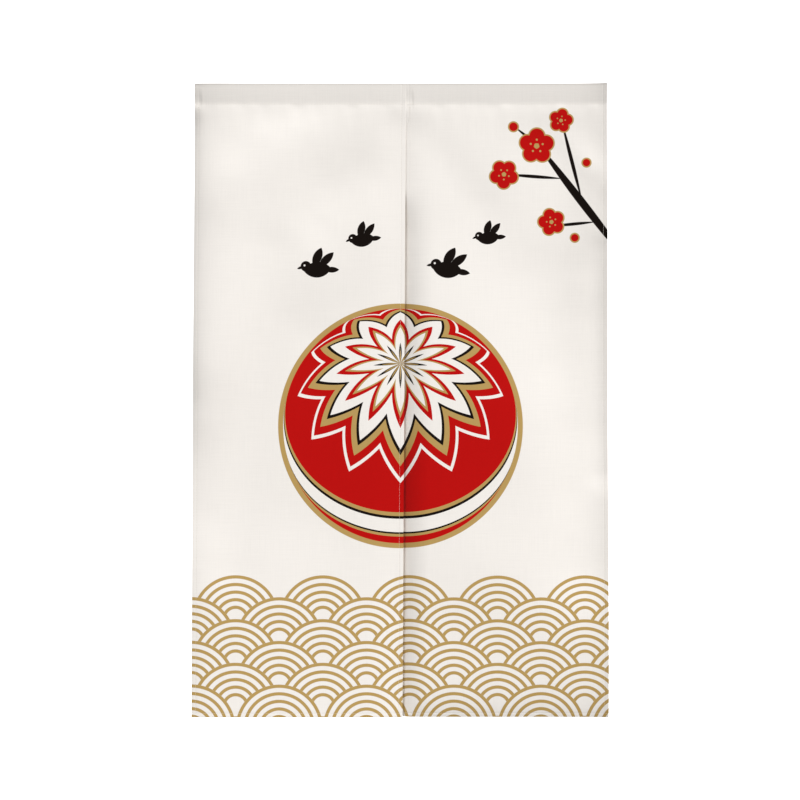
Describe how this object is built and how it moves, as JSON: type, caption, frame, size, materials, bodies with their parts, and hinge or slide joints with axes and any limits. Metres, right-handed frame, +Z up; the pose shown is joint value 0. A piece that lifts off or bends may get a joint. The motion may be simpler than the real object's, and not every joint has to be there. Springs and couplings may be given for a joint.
{
  "type": "noren curtain",
  "caption": "Split doorway curtain of printed cloth panels, lapped and sewn together at the top of the slit, with an open rod pocket along the top edge and narrow turned hems.",
  "frame": {"origin": "middle of the top fold of the rod pocket, where the rod carries the curtain", "axes": "+Z up along the drop, +X to the right of someone facing the printed side, -Y out of the printed side"},
  "size_m": [0.7905, 0.0454, 1.2],
  "materials": {
    "cloth": "matte plain weave, printed"
  },
  "bodies": {
    "root": {"panel_left": "cloth", "panel_right": "cloth", "heading_left": "cloth", "heading_right": "cloth"}
  },
  "joints": []
}
